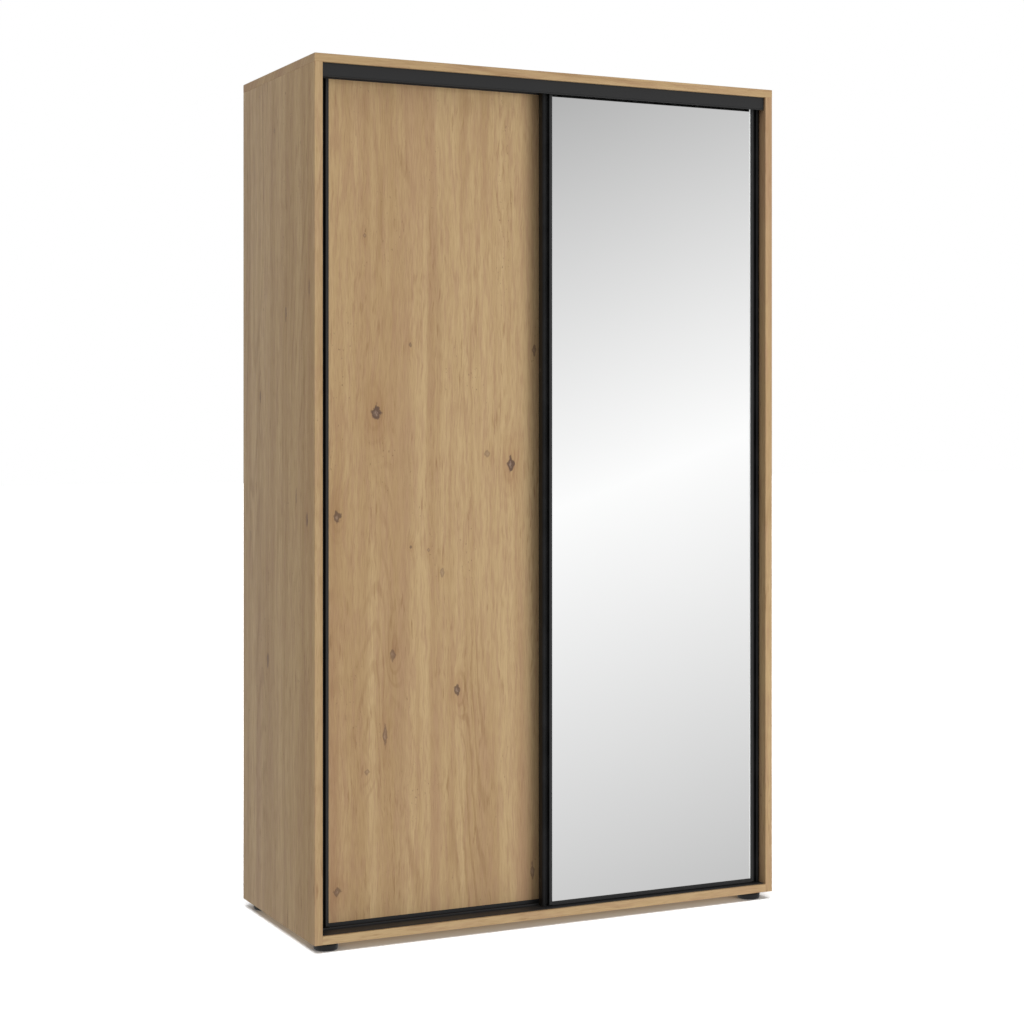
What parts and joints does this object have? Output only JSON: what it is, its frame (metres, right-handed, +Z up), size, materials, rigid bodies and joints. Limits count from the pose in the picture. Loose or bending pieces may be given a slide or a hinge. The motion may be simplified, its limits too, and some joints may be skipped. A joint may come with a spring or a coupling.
{
  "type": "sliding door wardrobe",
  "caption": "Tall free-standing wardrobe with an oak-decor carcass, black frame profiles, a wood door and a mirror door that slide past each other.",
  "frame": {"origin": "on the floor, under the middle of the wardrobe's footprint", "axes": "+X to the right seen from the front, the front faces -Y, +Z up"},
  "size_m": [1.2, 0.5, 2],
  "materials": {
    "oak_decor_board": "matt oak-decor laminate on particle board, vertical grain with knots",
    "hardboard_back": "thin smooth hardboard, brown",
    "raw_particle_board": "uncoated particle board",
    "beech_dowel": "fluted beech",
    "zinc_steel": "zinc-plated steel",
    "chrome_rail": "bright chromed steel",
    "black_plastic": "moulded black plastic, fine texture",
    "black_rubber": "black rubber",
    "black_aluminium": "matt black powder-coated aluminium extrusion",
    "mirror_glass": "silvered float glass",
    "pile_seal": "black brush pile",
    "nylon": "natural nylon"
  },
  "bodies": {
    "carcass": {"side_panel_left": "oak_decor_board", "side_panel_right": "oak_decor_board", "top_panel": "oak_decor_board", "bottom_panel": "oak_decor_board", "centre_partition": "oak_decor_board", "hat_shelf": "oak_decor_board", "shelf_1": "oak_decor_board", "shelf_2": "oak_decor_board", "shelf_3": "oak_decor_board", "shelf_4": "oak_decor_board", "back_panel_left": "hardboard_back", "back_panel_right": "hardboard_back", "back_nails": "zinc_steel", "shelf_pins": "zinc_steel", "hanging_rail": "chrome_rail", "rail_brackets": "chrome_rail", "foot_front_left": "black_plastic", "foot_front_right": "black_plastic", "foot_back_left": "black_plastic", "foot_back_right": "black_plastic", "cam_locks": "zinc_steel", "cam_bolts": "zinc_steel", "dowels": "beech_dowel", "carcass_screws": "zinc_steel", "top_track": "black_aluminium", "bottom_track": "black_aluminium", "track_screws": "zinc_steel", "track_stops": "black_rubber"},
    "left_door": {"left_door_panel": "oak_decor_board", "left_door_stile_left": "black_aluminium", "left_door_stile_right": "black_aluminium", "left_door_top_rail": "black_aluminium", "left_door_bottom_rail": "black_aluminium", "left_door_end_caps": "black_plastic", "left_door_brush": "pile_seal", "left_door_screws": "zinc_steel", "left_door_roller_brackets": "zinc_steel", "left_door_axles": "zinc_steel", "left_door_guide_blocks": "black_plastic"},
    "right_door": {"right_door_mirror": "mirror_glass", "right_door_backing": "raw_particle_board", "right_door_stile_left": "black_aluminium", "right_door_stile_right": "black_aluminium", "right_door_top_rail": "black_aluminium", "right_door_bottom_rail": "black_aluminium", "right_door_end_caps": "black_plastic", "right_door_brush": "pile_seal", "right_door_screws": "zinc_steel", "right_door_roller_brackets": "zinc_steel", "right_door_axles": "zinc_steel", "right_door_guide_blocks": "black_plastic"},
    "left_door_wheel_left": {"left_door_wheel_left": "nylon"},
    "left_door_wheel_right": {"left_door_wheel_right": "nylon"},
    "left_door_guide_roller_left": {"left_door_guide_roller_left": "nylon"},
    "left_door_guide_roller_right": {"left_door_guide_roller_right": "nylon"},
    "right_door_wheel_left": {"right_door_wheel_left": "nylon"},
    "right_door_wheel_right": {"right_door_wheel_right": "nylon"},
    "right_door_guide_roller_left": {"right_door_guide_roller_left": "nylon"},
    "right_door_guide_roller_right": {"right_door_guide_roller_right": "nylon"}
  },
  "joints": [
    {"name": "left_door_slide", "type": "slide", "parent": "carcass", "child": "left_door", "axis": [1, 0, 0], "range_m": [0, 0.546]},
    {"name": "right_door_slide", "type": "slide", "parent": "carcass", "child": "right_door", "axis": [1, 0, 0], "range_m": [-0.558, 0]},
    {"name": "left_door_wheel_left_spin", "type": "hinge", "parent": "left_door", "child": "left_door_wheel_left", "pos_m": [-0.493, -0.163, 0.0578], "axis": [0, 1, 0], "continuous": true},
    {"name": "left_door_wheel_right_spin", "type": "hinge", "parent": "left_door", "child": "left_door_wheel_right", "pos_m": [-0.041, -0.163, 0.0578], "axis": [0, 1, 0], "continuous": true},
    {"name": "left_door_guide_roller_left_spin", "type": "hinge", "parent": "left_door", "child": "left_door_guide_roller_left", "pos_m": [-0.523, -0.176, 1.97], "axis": [0, 0, 1], "continuous": true},
    {"name": "left_door_guide_roller_right_spin", "type": "hinge", "parent": "left_door", "child": "left_door_guide_roller_right", "pos_m": [-0.011, -0.176, 1.97], "axis": [0, 0, 1], "continuous": true},
    {"name": "right_door_wheel_left_spin", "type": "hinge", "parent": "right_door", "child": "right_door_wheel_left", "pos_m": [0.053, -0.201, 0.0578], "axis": [0, 1, 0], "continuous": true},
    {"name": "right_door_wheel_right_spin", "type": "hinge", "parent": "right_door", "child": "right_door_wheel_right", "pos_m": [0.505, -0.201, 0.0578], "axis": [0, 1, 0], "continuous": true},
    {"name": "right_door_guide_roller_left_spin", "type": "hinge", "parent": "right_door", "child": "right_door_guide_roller_left", "pos_m": [0.023, -0.214, 1.97], "axis": [0, 0, 1], "continuous": true},
    {"name": "right_door_guide_roller_right_spin", "type": "hinge", "parent": "right_door", "child": "right_door_guide_roller_right", "pos_m": [0.535, -0.214, 1.97], "axis": [0, 0, 1], "continuous": true}
  ],
  "couplings": [
    {"joint": "left_door_wheel_left_spin", "follows": "left_door_slide", "rad_per_m": 76.923},
    {"joint": "left_door_wheel_right_spin", "follows": "left_door_slide", "rad_per_m": 76.923},
    {"joint": "left_door_guide_roller_left_spin", "follows": "left_door_slide", "rad_per_m": -78.74},
    {"joint": "left_door_guide_roller_right_spin", "follows": "left_door_slide", "rad_per_m": -78.74},
    {"joint": "right_door_wheel_left_spin", "follows": "right_door_slide", "rad_per_m": 76.923},
    {"joint": "right_door_wheel_right_spin", "follows": "right_door_slide", "rad_per_m": 76.923},
    {"joint": "right_door_guide_roller_left_spin", "follows": "right_door_slide", "rad_per_m": -78.74},
    {"joint": "right_door_guide_roller_right_spin", "follows": "right_door_slide", "rad_per_m": -78.74}
  ]
}
